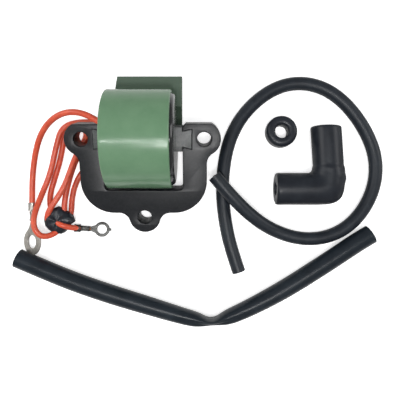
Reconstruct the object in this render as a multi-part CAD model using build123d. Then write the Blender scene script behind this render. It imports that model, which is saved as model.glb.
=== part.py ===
from build123d import *
import math
import os

# Small-engine ignition coil kit, in millimetres. The frame's origin is on the surface it lies on, +Z up.
# The coil lies tilted, on its round housing and on the tip of its frame's lower ear.

# Fits
slip = 0.1              # gap between parts that slide together on assembly
skin_gap = 0.05         # gap between an insulation and its conductor, or a wire and its hole

# Laminated frame
plate_count = 12
plate_thickness = 1.0
ear_spacing = 60.0      # between the two side holes
side_ear_radius = 8.2
ear_hole_radius = 3.5
lower_ear_radius = 7.9
lower_ear_drop = 39.5   # core axis to the lower hole
leg_outer = 31.4
leg_inner = 19.5
leg_top = 7.3
window_drop = 25.5
bar_drop = 37.2
outer_corner_radius = 16.3
window_corner_radius = 2.0
side_blend_radius = 6.0
lower_blend_radius = 5.5
leg_corner_chamfer = 1.5

# Core
core_height = 12.0
dovetail_neck = 7.6
dovetail_flare = 9.8
dovetail_depth = 4.6

# Housing
drum_radius = 23.7
drum_length = 31.0
drum_left = -16.5
drum_wall = 1.5
end_wall = 1.5
drum_offset = 6.0       # drum axis in front of the core axis
resin_crown = 1.8        # how far the potting stands out of the drum's open end
resin_rounding = 1.2
drum_edge_radius = 0.7

# High-tension tower along the drum's far side
tower_reach = 29.7      # core axis to the tower's far face
tower_top = -12.6
tower_base = -25.4
tower_left_far = -14.2
tower_right = 18.5
tower_slant_start = 18.0
socket_radius = 3.6
socket_depth = 12.0
socket_height = -17.6
contact_radius = 1.8
contact_length = 3.0
link_radius = 0.4
link_lead_out = (5.5, -5.6)       # y, z of the point that the link's wire heads for

# Bobbins and windings, round about the core axis
bobbin_length = 26.6
bobbin_start = -12.6
primary_tube_radius = 9.6
primary_wound_radius = 11.5
primary_flange = 1.0
paper_radius = 12.0
secondary_tube_wall = 0.8
secondary_wound_radius = 15.0
secondary_flange_radius = 15.4
partition_thickness = 0.8
section_count = 6

# Primary leads
lead_radius = 1.5
lead_conductor_radius = 0.8
lead_exit_front = (8.0, 7.0)     # y, z on the closed end, in the coil's own frame
lead_exit_back = (6.0, -9.0)
lead_inside = 0.8
lead_stand_off = 3.2     # straight lead outside the closed end
joint_radius = 1.2
joint_length = 1.0

# High-tension lead and sleeve
ht_radius = 3.5
ht_conductor_radius = 0.8
sleeve_radius = 5.0
sleeve_wall = 0.9

# Plug boot and grommet
boot_radius = 8.3
boot_lead_bore = 3.4
boot_plug_bore = 5.6
boot_lead_end_x = 34.8
boot_corner = (62.3, -19.0)
boot_plug_end_y = 13.3
boot_step = 0.35
boot_elbow_length = 11.0
mouth_rounding = 0.8
terminal_radius = 4.4
terminal_bore = 3.2
terminal_length = 9.0
terminal_wall_floor = 1.2
spike_radius = 0.8
spike_bend = 3.0
plug_bore_depth = 15.0
lead_bore_depth = 16.0
grommet_at = (38.3, 11.1)
grommet_radius = 8.15
grommet_bore = 3.5
grommet_height = 9.0
grommet_rounding = 2.0

# Where the coil's core axis crosses its frame's mid-plane, on plan
coil_x = -32.4
coil_y = 6.1

# Worked out from the sizes above
stack = plate_count * plate_thickness
drum_bore = drum_radius - drum_wall
drum_right = drum_left + drum_length
cavity_left = drum_left + end_wall
resin_right = drum_right + resin_crown
bobbin_end = bobbin_start + bobbin_length
secondary_bore = paper_radius + skin_gap
secondary_tube_radius = secondary_bore + secondary_tube_wall
section_width = (bobbin_length - (section_count + 1) * partition_thickness) / section_count
section_pitch = section_width + partition_thickness
link_section_x = bobbin_start + partition_thickness + section_width / 2 + 3 * section_pitch
ear_tip = lower_ear_drop + lower_ear_radius
rest_arm = math.hypot(ear_tip, drum_offset + stack / 2)
tilt = math.degrees(math.atan2(ear_tip, drum_offset + stack / 2) - math.acos(drum_radius / rest_arm))
coil_z = ear_tip * math.sin(math.radians(tilt)) + stack / 2 * math.cos(math.radians(tilt))
coil_place = Location((coil_x, coil_y, coil_z), (tilt, 0, 0))

# Routes, as points that a cord's runs join
ht_route = [
    (2.7, -12.0, 13.6), (6.9, -17.3, 13.9), (12.3, -23.3, 13.0), (19.5, -30.5, 9.9), (27.7, -37.0, 6.2),
    (36.2, -41.6, 3.9), (45.1, -44.6, 3.5), (54.3, -45.6, 3.5), (63.2, -44.3, 3.5), (71.1, -40.9, 3.5),
    (77.9, -35.4, 3.5), (83.4, -28.2, 3.5), (87.4, -19.4, 3.5), (89.1, -9.7, 3.5), (88.1, 0.4, 3.5),
    (84.2, 10.4, 3.5), (78.2, 20.0, 3.5), (70.9, 28.2, 3.5), (62.0, 34.3, 3.5), (52.0, 37.2, 3.5),
    (41.6, 36.7, 3.5), (31.9, 32.6, 3.5), (23.3, 25.8, 3.5), (16.7, 18.0, 3.5), (12.3, 9.6, 3.5),
    (9.6, 1.0, 3.5), (7.9, -9.2, 3.5), (7.4, -19.8, 3.5), (8.2, -30.8, 3.5), (9.9, -41.6, 3.5),
    (12.6, -52.2, 3.5), (16.2, -62.9, 3.5),
]
sleeve_route = [
    (-100.4, -55.4, 5.05), (-90.7, -59.6, 5.05), (-71.7, -67.5, 5.05), (-52.3, -74.2, 5.05),
    (-33.1, -80.0, 5.05), (-19.1, -84.2, 5.05), (-7.7, -87.4, 5.05), (1.7, -88.8, 5.05), (9.9, -86.6, 5.05),
    (19.1, -82.7, 5.05), (31.1, -76.7, 5.05), (43.5, -69.7, 5.05), (56.3, -61.6, 5.05),
    (69.1, -53.3, 5.05), (78.4, -47.0, 5.05), (85.5, -42.8, 5.05),
]
short_lead_route = [
    (-56.1, 14.7, 27.3), (-61.9, 17.1, 27.0), (-68.6, 17.6, 25.2), (-75.2, 15.9, 22.0), (-81.1, 12.3, 17.9),
    (-85.9, 7.3, 13.3), (-89.3, 1.0, 9.3), (-91.5, -6.2, 6.5), (-92.8, -13.8, 5.0),
]
long_lead_start = [(-56.5, 14.7, 9.6), (-61.3, 15.1, 8.0), (-65.9, 15.0, 6.2)]
long_lead_tail = [(-78.9, -36.6, 6.9), (-76.1, -38.2, 5.5)]
hank_outline = [
    (-63.7, 17.8), (-75.5, 17.4), (-80.6, 13.0), (-82.1, 2.4), (-84.3, -7.6), (-86.7, -18.6), (-86.7, -41.6),
    (-83.7, -45.0), (-78.7, -44.0), (-73.3, -37.6), (-70.6, -23.6), (-68.1, -11.6), (-63.9, -2.6),
    (-61.1, 6.4),
]
hank_bottom = 0.1
hank_top = 7.4
hank_corner_radius = 3.0
tape_at = (-79.5, -35.8)
tape_length = 13.0
tape_width = 14.0
tape_height = 9.6
tape_turn = 28.0
tape_corner = 3.0
tape_rounding = 1.4

# Ring terminals: ring centre, direction of the barrel, lean of the ring, and sizes
large_ring = {"hole": 3.5, "ring": 7.0, "sheet": 0.8, "reach": 11.0, "barrel": 5.0, "grip": 4.5}
small_ring = {"hole": 2.5, "ring": 4.0, "sheet": 0.7, "reach": 6.4, "barrel": 4.6, "grip": 3.4}
large_ring_at = (-92.2, -45.9, 3.8)
large_ring_lean = 28.0
large_ring_towards = (-93.1, -21.6, 4.6)
small_ring_at = (-56.9, -40.5, 1.15)
small_ring_towards = (-68.7, -39.8, 2.5)
lead_run_in = 2.0        # straight lead before a terminal's grip
barrel_wall = 0.5
neck_share = 0.55        # neck's half-width at the ring, as a share of the ring's radius
neck_lap = 0.6           # how far the wire barrel laps the neck
small_nub = 0.9


def round_bar(radius, start, end):
    """Round bar between two points."""
    axis = Vector(end) - Vector(start)
    face = Plane(origin=start, z_dir=axis) * Circle(radius)
    return extrude(face, amount=axis.length)


def bar_x(radius, left, right, y=0.0, z=0.0):
    """Round bar along X."""
    return round_bar(radius, (left, y, z), (right, y, z))


def corner_radii(points):
    """The largest tangent arc at each corner: 0.45 of the shorter run over the tangent of half the turn."""
    radii = []
    for before, here, after in zip(points, points[1:], points[2:]):
        first = Vector(here) - Vector(before)
        second = Vector(after) - Vector(here)
        half_turn = math.radians(first.get_angle(second) / 2)
        radii.append(0.45 * min(first.length, second.length) / math.tan(half_turn))
    return radii


def route_path(points):
    """Straight runs joined by tangent arcs."""
    return FilletPolyline(*points, radius=corner_radii(points))


def tube(points, outer, inner=0.0):
    """A cord's solid along a route, hollow when inner is given."""
    path = route_path(points)
    section = Circle(outer)
    if inner:
        section = section - Circle(inner)
    return sweep(Plane(origin=path @ 0, z_dir=path % 0) * section, path=path)


def nearest_vertex(shape, x, y):
    """The corner of a flat shape that lies nearest a point."""
    return min(shape.vertices(), key=lambda v: math.hypot(v.X - x, v.Y - y))


def plate_outline():
    """One punched frame plate: a U with an ear beside each leg's top and one under the bar."""
    height = leg_top + bar_drop
    body = Pos(0, (leg_top - bar_drop) / 2) * Rectangle(2 * leg_outer, height)
    for side in (-1, 1):
        body = fillet(nearest_vertex(body, side * leg_outer, -bar_drop), outer_corner_radius)
    for side in (-1, 1):
        body = body + Pos(side * ear_spacing / 2, 0) * Circle(side_ear_radius)
    body = body & (Pos(0, leg_top - ear_spacing) * Rectangle(3 * ear_spacing, 2 * ear_spacing))
    body = body + Pos(0, -lower_ear_drop) * Circle(lower_ear_radius)
    for side in (-1, 1):
        foot = math.sqrt(side_ear_radius ** 2 - (leg_outer - ear_spacing / 2) ** 2)
        body = fillet(nearest_vertex(body, side * leg_outer, -foot), side_blend_radius)
        lap = math.sqrt(lower_ear_radius ** 2 - (lower_ear_drop - bar_drop) ** 2)
        body = fillet(nearest_vertex(body, side * lap, -bar_drop), lower_blend_radius)
    window_height = window_drop + leg_top
    window = Pos(0, (leg_top - window_drop) / 2) * Rectangle(2 * leg_inner, window_height)
    for side in (-1, 1):
        window = fillet(nearest_vertex(window, side * leg_inner, -window_drop), window_corner_radius)
    body = body - window
    for side in (-1, 1):
        body = chamfer(nearest_vertex(body, side * leg_inner, leg_top), leg_corner_chamfer)
        body = body - Pos(side * ear_spacing / 2, 0) * Circle(ear_hole_radius)
        body = body - dovetail(side, 0.0)
    return body - Pos(0, -lower_ear_drop) * Circle(ear_hole_radius)


def dovetail(side, gap):
    """A dovetail's outline at one leg, made smaller all round by a gap."""
    neck = dovetail_neck / 2 - gap
    flare = dovetail_flare / 2 - gap
    start = leg_inner - slip
    end = leg_inner + dovetail_depth - gap
    corners = [(side * start, -neck), (side * end, -flare), (side * end, flare), (side * start, neck)]
    return make_face(Polyline(*corners, close=True))


def core_outline():
    """One punched core bar with a dovetail at each end."""
    bar = Rectangle(2 * (leg_inner - slip), core_height)
    return bar + dovetail(-1, skin_gap) + dovetail(1, skin_gap)


def laminate(outline):
    """A stack of equal plates, centred on the mid-plane, each plate its own solid."""
    plates = []
    for index in range(plate_count):
        base = -stack / 2 + index * plate_thickness
        plates.append(extrude(Pos(0, 0, base) * outline, amount=plate_thickness))
    return plates


def core_hole(left, right, gap):
    """The square hole that the core passes through."""
    side = core_height + 2 * gap
    return Pos((left + right) / 2, 0, 0) * Box(right - left, side, side)


def link_ends():
    """Where the high-tension link leaves the contact and where it meets the secondary's wire."""
    back = tower_reach - socket_depth - contact_length
    reach = secondary_wound_radius / math.hypot(back - link_lead_out[0], socket_height - link_lead_out[1])
    start = (link_section_x, back - link_radius, socket_height)
    end = (link_section_x, (back - link_lead_out[0]) * reach, (socket_height - link_lead_out[1]) * reach)
    return start, end


def tower_block():
    """The tower: a block whose underside follows the surface below it and whose left end slants."""
    drum_foot = drum_offset - drum_radius
    profile = [(0, tower_top), (tower_reach, tower_top), (tower_reach, tower_base), (0, drum_foot)]
    face = make_face(Polyline(*[(0, y, z) for y, z in profile], close=True))
    block = Pos(drum_left, 0, 0) * extrude(face, amount=tower_right - drum_left, dir=(1, 0, 0))
    keep = [
        (drum_left, -1), (drum_left, tower_slant_start), (tower_left_far, tower_reach),
        (tower_right, tower_reach), (tower_right, -1),
    ]
    plan = make_face(Polyline(*keep, close=True))
    block = block & extrude(Pos(0, 0, tower_base) * plan, amount=tower_top - tower_base)
    return block - bar_x(drum_radius, drum_right, tower_right, z=drum_offset)


def housing():
    """Drum and tower moulded in one, closed at the left end and open at the right."""
    drum = bar_x(drum_radius, drum_left, drum_right, z=drum_offset)
    drum = fillet(drum.edges().filter_by(GeomType.CIRCLE), drum_edge_radius)
    shell = drum + tower_block()
    shell = shell - bar_x(drum_bore, cavity_left, drum_right + 5, z=drum_offset)
    shell = shell - core_hole(drum_left - 1, cavity_left + 1, slip)
    far = tower_reach - socket_depth
    shell = shell - round_bar(socket_radius, (link_section_x, tower_reach + 1, socket_height),
                              (link_section_x, far, socket_height))
    shell = shell - round_bar(contact_radius + skin_gap, (link_section_x, far + 1, socket_height),
                              (link_section_x, far - contact_length, socket_height))
    shell = shell - round_bar(link_radius + skin_gap, *link_ends())
    for y, z in (lead_exit_front, lead_exit_back):
        shell = shell - bar_x(lead_radius + skin_gap, drum_left - 1, cavity_left + 1, y, z)
    return shell


def resin():
    """Potting that fills the drum round the bobbins and the leads' ends."""
    fill = bar_x(drum_bore, cavity_left, resin_right, z=drum_offset)
    fill = fillet(fill.faces().sort_by(Axis.X)[-1].edges(), resin_rounding)
    fill = fill - bar_x(secondary_flange_radius, bobbin_start, bobbin_end)
    fill = fill - core_hole(cavity_left - 1, resin_right + 1, slip)
    fill = fill - round_bar(link_radius + skin_gap, *link_ends())
    for y, z in (lead_exit_front, lead_exit_back):
        fill = fill - bar_x(lead_radius + skin_gap, cavity_left - 1, cavity_left + lead_inside, y, z)
        fill = fill - bar_x(joint_radius + skin_gap, cavity_left, bobbin_start, y, z)
    return fill


def primary_bobbin():
    """Tube with a square hole for the core and a flange at each end."""
    bobbin = bar_x(primary_tube_radius, bobbin_start, bobbin_end)
    for left in (bobbin_start, bobbin_end - primary_flange):
        bobbin = bobbin + bar_x(paper_radius, left, left + primary_flange)
    return bobbin - core_hole(bobbin_start - 1, bobbin_end + 1, slip)


def ring(outer, inner, left, right):
    """Round ring about the core axis."""
    return bar_x(outer, left, right) - bar_x(inner, left - 1, right + 1)


def primary_layer(outer, inner):
    """A layer wound between the primary bobbin's flanges."""
    return ring(outer, inner, bobbin_start + primary_flange, bobbin_end - primary_flange)


def secondary_bobbin():
    """Tube with partitions that keep the secondary's sections apart."""
    bobbin = ring(secondary_tube_radius, secondary_bore, bobbin_start, bobbin_end)
    for index in range(section_count + 1):
        left = bobbin_start + index * section_pitch
        bobbin = bobbin + ring(secondary_flange_radius, secondary_bore, left, left + partition_thickness)
    return bobbin


def secondary_winding():
    """One wound ring in each section of the secondary bobbin."""
    rings = []
    for index in range(section_count):
        left = bobbin_start + partition_thickness + index * section_pitch
        rings.append(ring(secondary_wound_radius, secondary_tube_radius, left, left + section_width))
    return rings


def tower_contact():
    """Brass contact at the back of the tower's socket."""
    far = tower_reach - socket_depth
    return round_bar(contact_radius, (link_section_x, far - contact_length, socket_height),
                     (link_section_x, far, socket_height))


def lead_joints():
    """Soldered joints between the leads' wires and the primary, one for each lead."""
    joints = []
    for y, z in (lead_exit_front, lead_exit_back):
        joints.append(bar_x(joint_radius, bobbin_start - joint_length, bobbin_start, y, z))
    return joints


def in_coil(y, z, x):
    """A point of the coil's own frame, as it lies."""
    return tuple((coil_place * Pos(x, y, z)).position)


def lead_from(exit_yz, route):
    """A lead's points: straight out through the closed end, then along its route."""
    inner = in_coil(*exit_yz, cavity_left + lead_inside)
    outer = in_coil(*exit_yz, drum_left - lead_stand_off)
    return [inner, outer] + route


def conductor_stub(exit_yz):
    """The bared wire between a lead's insulation and its joint."""
    start = in_coil(*exit_yz, cavity_left + lead_inside)
    end = in_coil(*exit_yz, bobbin_start - joint_length)
    return round_bar(lead_conductor_radius - skin_gap, start, end)


def terminal_plane(at, towards, lean):
    """A ring terminal's plane: its barrel points the given way and its ring leans about that line."""
    x_dir = (Vector(towards) - Vector(at)).normalized()
    up = Vector(0, 0, 1)
    flat = (up - x_dir * up.dot(x_dir)).normalized()
    normal = flat.rotate(Axis((0, 0, 0), x_dir), lean)
    return Plane(origin=at, x_dir=x_dir, z_dir=normal)


def ring_terminal(sizes, nub=0.0):
    """Stamped ring terminal: ring, tapered neck, wire barrel and insulation grip, along +X."""
    half = sizes["sheet"] / 2
    wire = lead_conductor_radius
    barrel_radius = wire + barrel_wall
    grip_radius = lead_radius + barrel_wall
    end = sizes["reach"] + sizes["barrel"] + sizes["grip"]
    blank = Circle(sizes["ring"])
    neck_edge = sizes["ring"] * neck_share
    reach = sizes["reach"]
    neck = [(0, -neck_edge), (reach, -barrel_radius), (reach, barrel_radius), (0, neck_edge)]
    blank = blank + make_face(Polyline(*neck, close=True))
    if nub:
        blank = blank + Pos(-sizes["ring"], 0) * Rectangle(2 * nub, 2 * nub)
    blank = blank - Circle(sizes["hole"])
    body = extrude(Pos(0, 0, -half) * blank, amount=sizes["sheet"])
    step = sizes["reach"] + sizes["barrel"]
    body = body + bar_x(barrel_radius, sizes["reach"] - neck_lap, step)
    body = body + bar_x(grip_radius, step, end)
    body = body - bar_x(wire, sizes["reach"], end + 1)
    return body - bar_x(lead_radius + skin_gap, step + barrel_wall, end + 1)


def on_terminal(plane, distance):
    """A point on a ring terminal's barrel axis, measured from the ring's centre."""
    return tuple((plane.location * Pos(distance, 0, 0)).position)


def grip_points(plane, sizes):
    """The last points of a lead's route: straight into the terminal's grip, up to its wire barrel."""
    seat = sizes["reach"] + sizes["barrel"] + barrel_wall
    mouth = sizes["reach"] + sizes["barrel"] + sizes["grip"] + lead_run_in
    return [on_terminal(plane, mouth), on_terminal(plane, seat)]


def bared_end(plane, sizes):
    """The bared wire that the terminal's wire barrel is crimped on."""
    seat = sizes["reach"] + sizes["barrel"] + barrel_wall
    tip = sizes["reach"] + skin_gap
    return round_bar(lead_conductor_radius - skin_gap, on_terminal(plane, seat), on_terminal(plane, tip))


def hank():
    """The long lead's folded hank, as one rounded solid of its outer shape."""
    outline = make_face(Polyline(*hank_outline, close=True))
    outline = fillet(outline.vertices(), hank_corner_radius)
    return extrude(Pos(0, 0, hank_bottom) * outline, amount=hank_top - hank_bottom)


def tape_wrap():
    """The outer shape of the tape wound round the hank's lower end."""
    block = Box(tape_width, tape_length, tape_height, align=(Align.CENTER, Align.CENTER, Align.MIN))
    block = chamfer(block.edges().filter_by(Axis.Z), tape_corner)
    block = fillet(block.faces().sort_by(Axis.Z)[-1].edges(), tape_rounding)
    return Pos(*tape_at, 0) * Rot(0, 0, tape_turn) * block


def boot():
    """Right-angle rubber boot: one leg takes the lead, the other goes over the plug."""
    x, y = boot_corner
    z = boot_radius
    lead_leg = round_bar(boot_radius - boot_step, (boot_lead_end_x, y, z), (x, y, z))
    plug_leg = round_bar(boot_radius - boot_step, (x, y, z), (x, boot_plug_end_y, z))
    elbow = Pos(x, y, z) * Sphere(boot_radius)
    elbow = elbow + round_bar(boot_radius, (x, y, z), (x - boot_elbow_length, y, z))
    elbow = elbow + round_bar(boot_radius, (x, y, z), (x, y + boot_elbow_length, z))
    body = lead_leg + plug_leg + elbow
    mouth = body.edges().filter_by(GeomType.CIRCLE)
    ends = [e for e in mouth if abs(e.center().X - boot_lead_end_x) < 0.01]
    ends += [e for e in mouth if abs(e.center().Y - boot_plug_end_y) < 0.01]
    body = fillet(ends, mouth_rounding)
    plug_floor = boot_plug_end_y - plug_bore_depth
    terminal_floor = plug_floor - terminal_length
    lead_floor = boot_lead_end_x + lead_bore_depth
    body = body - round_bar(boot_lead_bore, (boot_lead_end_x - 1, y, z), (lead_floor, y, z))
    body = body - round_bar(boot_plug_bore, (x, boot_plug_end_y + 1, z), (x, plug_floor, z))
    body = body - round_bar(terminal_radius + skin_gap, (x, plug_floor + 1, z), (x, terminal_floor, z))
    return body - boot_spike(spike_radius + skin_gap, terminal_floor, lead_floor - slip)


def boot_spike(radius, start_y, end_x):
    """The bent pin that runs from the plug's cup round the elbow to the end of the lead's bore."""
    x, y = boot_corner
    z = boot_radius
    start = (x, start_y + terminal_wall_floor / 2, z)
    path = FilletPolyline(start, (x, y, z), (end_x, y, z), radius=spike_bend)
    return sweep(Plane(origin=path @ 0, z_dir=path % 0) * Circle(radius), path=path)


def boot_terminal():
    """Sprung brass cup that grips the plug, with a spike that runs into the lead."""
    x, y = boot_corner
    z = boot_radius
    plug_floor = boot_plug_end_y - plug_bore_depth
    floor = plug_floor - terminal_length
    cup = round_bar(terminal_radius, (x, floor, z), (x, plug_floor - slip, z))
    cup = cup - round_bar(terminal_bore, (x, floor + terminal_wall_floor, z), (x, plug_floor + 1, z))
    return cup + boot_spike(spike_radius, floor, boot_lead_end_x + lead_bore_depth + slip)


def grommet():
    """Thick rubber ring with rounded shoulders."""
    body = Cylinder(grommet_radius, grommet_height, align=(Align.CENTER, Align.CENTER, Align.MIN))
    body = fillet(body.edges().filter_by(GeomType.CIRCLE), grommet_rounding)
    hole = Cylinder(grommet_bore, 3 * grommet_height)
    body = body - hole
    return Pos(*grommet_at, 0) * body


def as_it_lies(shapes):
    """Move pieces of the coil from its own frame to where it lies."""
    if isinstance(shapes, list):
        return [coil_place * shape for shape in shapes]
    return coil_place * shapes


def save(name, shapes):
    """Write one sub-part, whole or as a group of separate solids."""
    solids = []
    for shape in shapes if isinstance(shapes, list) else [shapes]:
        solids.extend(shape.solids())
    piece = solids[0] if len(solids) == 1 else Compound(children=solids)
    export_step(piece, f"parts/{name}.step")


def report_route(name, points):
    """Print a route's length and its radii."""
    radii = ", ".join(f"{radius:.0f}" for radius in corner_radii(points))
    print(f"{name}: {route_path(points).length:.1f} mm long, radii {radii}")


os.makedirs("parts", exist_ok=True)
print(f"tilt {tilt:.2f} degrees, core axis {coil_z:.2f} above the surface")

# The coil
save("frame_laminations", as_it_lies(laminate(plate_outline())))
save("core_laminations", as_it_lies(laminate(core_outline())))
save("coil_housing", as_it_lies(housing()))
save("potting_resin", as_it_lies(resin()))
save("primary_bobbin", as_it_lies(primary_bobbin()))
save("primary_winding", as_it_lies(primary_layer(primary_wound_radius, primary_tube_radius)))
save("insulating_paper", as_it_lies(primary_layer(paper_radius, primary_wound_radius)))
save("secondary_bobbin", as_it_lies(secondary_bobbin()))
save("secondary_winding", as_it_lies(secondary_winding()))
save("tower_contact", as_it_lies(tower_contact()))
save("tower_link_wire", as_it_lies(round_bar(link_radius, *link_ends())))
save("lead_joints", as_it_lies(lead_joints()))

# The short lead and its large ring terminal
large_plane = terminal_plane(large_ring_at, large_ring_towards, large_ring_lean)
short_points = lead_from(lead_exit_front, short_lead_route) + grip_points(large_plane, large_ring)
report_route("short lead", short_points)
save("short_lead", tube(short_points, lead_radius, lead_conductor_radius))
short_core = tube(short_points, lead_conductor_radius - skin_gap) + bared_end(large_plane, large_ring)
save("short_lead_conductor", conductor_stub(lead_exit_front) + short_core)
save("short_lead_ring_terminal", large_plane.location * ring_terminal(large_ring))

# The long lead, its hank, tape and small ring terminal
small_plane = terminal_plane(small_ring_at, small_ring_towards, 0.0)
start_points = lead_from(lead_exit_back, long_lead_start)
tail_points = long_lead_tail + grip_points(small_plane, small_ring)
report_route("long lead, start", start_points)
report_route("long lead, tail", tail_points)
start_way = tube(start_points, lead_radius + skin_gap)
tail_way = tube(tail_points, lead_radius + skin_gap)
save("long_lead_start", tube(start_points, lead_radius, lead_conductor_radius))
save("long_lead_tail", tube(tail_points, lead_radius, lead_conductor_radius))
save("long_lead_hank", hank() - tail_way - start_way)
save("bundle_tape", tape_wrap() - hank() - tail_way)
start_core = tube(start_points, lead_conductor_radius - skin_gap) + conductor_stub(lead_exit_back)
tail_core = tube(tail_points, lead_conductor_radius - skin_gap) + bared_end(small_plane, small_ring)
save("long_lead_conductor", [start_core, tail_core])
save("long_lead_ring_terminal", small_plane.location * ring_terminal(small_ring, small_nub))

# The loose pieces of the kit
report_route("high-tension lead", ht_route)
save("ht_lead", tube(ht_route, ht_radius, ht_conductor_radius))
save("ht_lead_conductor", tube(ht_route, ht_conductor_radius - skin_gap))
report_route("sleeve", sleeve_route)
save("lead_sleeve", tube(sleeve_route, sleeve_radius, sleeve_radius - sleeve_wall))
save("plug_boot", boot())
save("plug_terminal", boot_terminal())
save("lead_grommet", grommet())
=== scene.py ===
import math
import bmesh
import bpy
import numpy as np
from mathutils import Matrix, Vector


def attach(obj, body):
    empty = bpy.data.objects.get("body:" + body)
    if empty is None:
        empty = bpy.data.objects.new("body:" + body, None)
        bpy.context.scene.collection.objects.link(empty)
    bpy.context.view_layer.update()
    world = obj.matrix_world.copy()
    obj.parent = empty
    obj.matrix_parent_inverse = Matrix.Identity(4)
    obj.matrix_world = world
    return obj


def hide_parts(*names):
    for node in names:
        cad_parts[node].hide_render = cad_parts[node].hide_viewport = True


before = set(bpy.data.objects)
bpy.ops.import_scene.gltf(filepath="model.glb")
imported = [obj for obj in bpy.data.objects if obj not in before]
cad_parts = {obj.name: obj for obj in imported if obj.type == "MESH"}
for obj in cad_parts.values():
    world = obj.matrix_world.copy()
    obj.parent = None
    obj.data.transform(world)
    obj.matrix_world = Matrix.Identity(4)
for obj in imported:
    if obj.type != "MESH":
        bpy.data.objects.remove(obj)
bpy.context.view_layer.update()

# A long strip lamp beside it draws the bright line along the green drum, and a small soft box in front
# of it lights the right ear.
camera_at = (-0.0044, -0.0248, 0.237)
camera = bpy.data.objects.new("camera", bpy.data.cameras.new("camera"))
camera.data.sensor_width = 36.0
camera.data.lens = 39.6
camera.location = camera_at
bpy.context.scene.collection.objects.link(camera)
bpy.context.scene.camera = camera
bpy.context.scene.view_settings.view_transform = "Standard"


def lamp(name, at, size, power, towards=(0, 0, 0)):
    """Rectangular area lamp aimed at a point."""
    data = bpy.data.lights.new(name, "AREA")
    data.shape = "RECTANGLE"
    data.size, data.size_y = size
    data.energy = power
    lamp_object = bpy.data.objects.new(name, data)
    lamp_object.location = at
    aim = Vector(at) - Vector(towards)
    lamp_object.rotation_euler = aim.to_track_quat("Z", "Y").to_euler()
    bpy.context.scene.collection.objects.link(lamp_object)


lamp("key_box", at=(-0.75, 0.15, 0.6), size=(0.5, 0.5), power=3.0)
lamp("fill_box", at=(0.8, 0.2, 0.5), size=(0.4, 0.4), power=1.9)
lamp("strip", at=(-0.02, -0.083, 0.5), size=(0.42, 0.008), power=0.6, towards=(-0.03, 0.0, 0.04))
lamp("soft_box", at=(0.0, -0.17, 0.5), size=(0.10, 0.06), power=0.9, towards=(0.0, 0.0, 0.02))

# Whatever looks straight at it sees white, and a reflection of it is only a little brighter than its
# light, so that the black pieces stay black.
room_level, white_extra, mirror_extra = 0.26, 0.74, 0.06
world = bpy.data.worlds.new("studio")
world.use_nodes = True
bpy.context.scene.world = world
world_nodes, world_links = world.node_tree.nodes, world.node_tree.links
world_nodes["Background"].inputs["Color"].default_value = (1.0, 1.0, 1.0, 1.0)
world_nodes["Background"].inputs["Strength"].default_value = room_level
ray = world_nodes.new("ShaderNodeLightPath")
direct = world_nodes.new("ShaderNodeMath")
direct.operation = "MAXIMUM"
world_links.new(ray.outputs["Is Camera Ray"], direct.inputs[0])
world_links.new(ray.outputs["Is Transmission Ray"], direct.inputs[1])
shown = world_nodes.new("ShaderNodeMath")
shown.operation = "MULTIPLY_ADD"
shown.inputs[1].default_value = white_extra
world_links.new(direct.outputs[0], shown.inputs[0])
mirrored_light = world_nodes.new("ShaderNodeMath")
mirrored_light.operation = "MULTIPLY_ADD"
mirrored_light.inputs[1].default_value = mirror_extra
mirrored_light.inputs[2].default_value = room_level
world_links.new(ray.outputs["Is Glossy Ray"], mirrored_light.inputs[0])
world_links.new(mirrored_light.outputs[0], shown.inputs[2])
world_links.new(shown.outputs[0], world_nodes["Background"].inputs["Strength"])


def floor_material():
    paper_glow = 0.6
    paper = bpy.data.materials.new("floor_paper")
    paper.use_nodes = True
    nodes, links = paper.node_tree.nodes, paper.node_tree.links
    nodes["Principled BSDF"].inputs["Base Color"].default_value = (0.9, 0.9, 0.9, 1.0)
    nodes["Principled BSDF"].inputs["Roughness"].default_value = 0.8
    nodes["Principled BSDF"].inputs["Emission Color"].default_value = (1.0, 1.0, 1.0, 1.0)
    path = nodes.new("ShaderNodeLightPath")
    seen = nodes.new("ShaderNodeMath")
    seen.operation = "MULTIPLY"
    seen.inputs[1].default_value = paper_glow
    links.new(path.outputs["Is Camera Ray"], seen.inputs[0])
    links.new(seen.outputs[0], nodes["Principled BSDF"].inputs["Emission Strength"])
    return paper


floor_half = 1.5
floor_mesh = bpy.data.meshes.new("floor")
floor_mesh.from_pydata([(-floor_half, -floor_half, 0), (floor_half, -floor_half, 0),
                        (floor_half, floor_half, 0), (-floor_half, floor_half, 0)], [], [(0, 1, 2, 3)])
floor_mesh.materials.append(floor_material())
floor = bpy.data.objects.new("floor", floor_mesh)
bpy.context.scene.collection.objects.link(floor)

# Laminated frame
# A U of punched steel plates, pressed together and dipped in satin black paint. Three ears take the bolts.
# Paint fills the joints between the plates, so only a faint ribbing shows on the edges.
mm = 0.001
tilt = math.radians(14.79)
core_at = (-32.4 * mm, 6.1 * mm, 17.9 * mm)
coil_turn = Matrix.Translation(core_at) @ Matrix.Rotation(tilt, 4, "X")
stack_height, plate_pitch = 12.0, 1.0
ear_hole_radius, frame_rounding = 3.5, 0.35


def node_maker(name):
    """A new material with its nodes, its links and its shader."""
    material = bpy.data.materials.new(name)
    material.use_nodes = True
    nodes = material.node_tree.nodes
    return material, nodes, material.node_tree.links, nodes["Principled BSDF"]


def noise(nodes, links, vector, scale, detail, roughness=0.5):
    """Noise with the given number of cells per metre, read at a vector."""
    texture = nodes.new("ShaderNodeTexNoise")
    texture.inputs["Scale"].default_value = scale
    texture.inputs["Detail"].default_value = detail
    texture.inputs["Roughness"].default_value = roughness
    links.new(vector, texture.inputs["Vector"])
    return texture.outputs["Fac"]


def ramp(nodes, links, factor, stops):
    """Two colours spread over a factor, each stop a place and a colour."""
    node = nodes.new("ShaderNodeValToRGB")
    for element, (place, colour) in zip(node.color_ramp.elements, stops):
        element.position = place
        element.color = (*colour, 1.0)
    links.new(factor, node.inputs["Fac"])
    return node.outputs["Color"]


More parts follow.
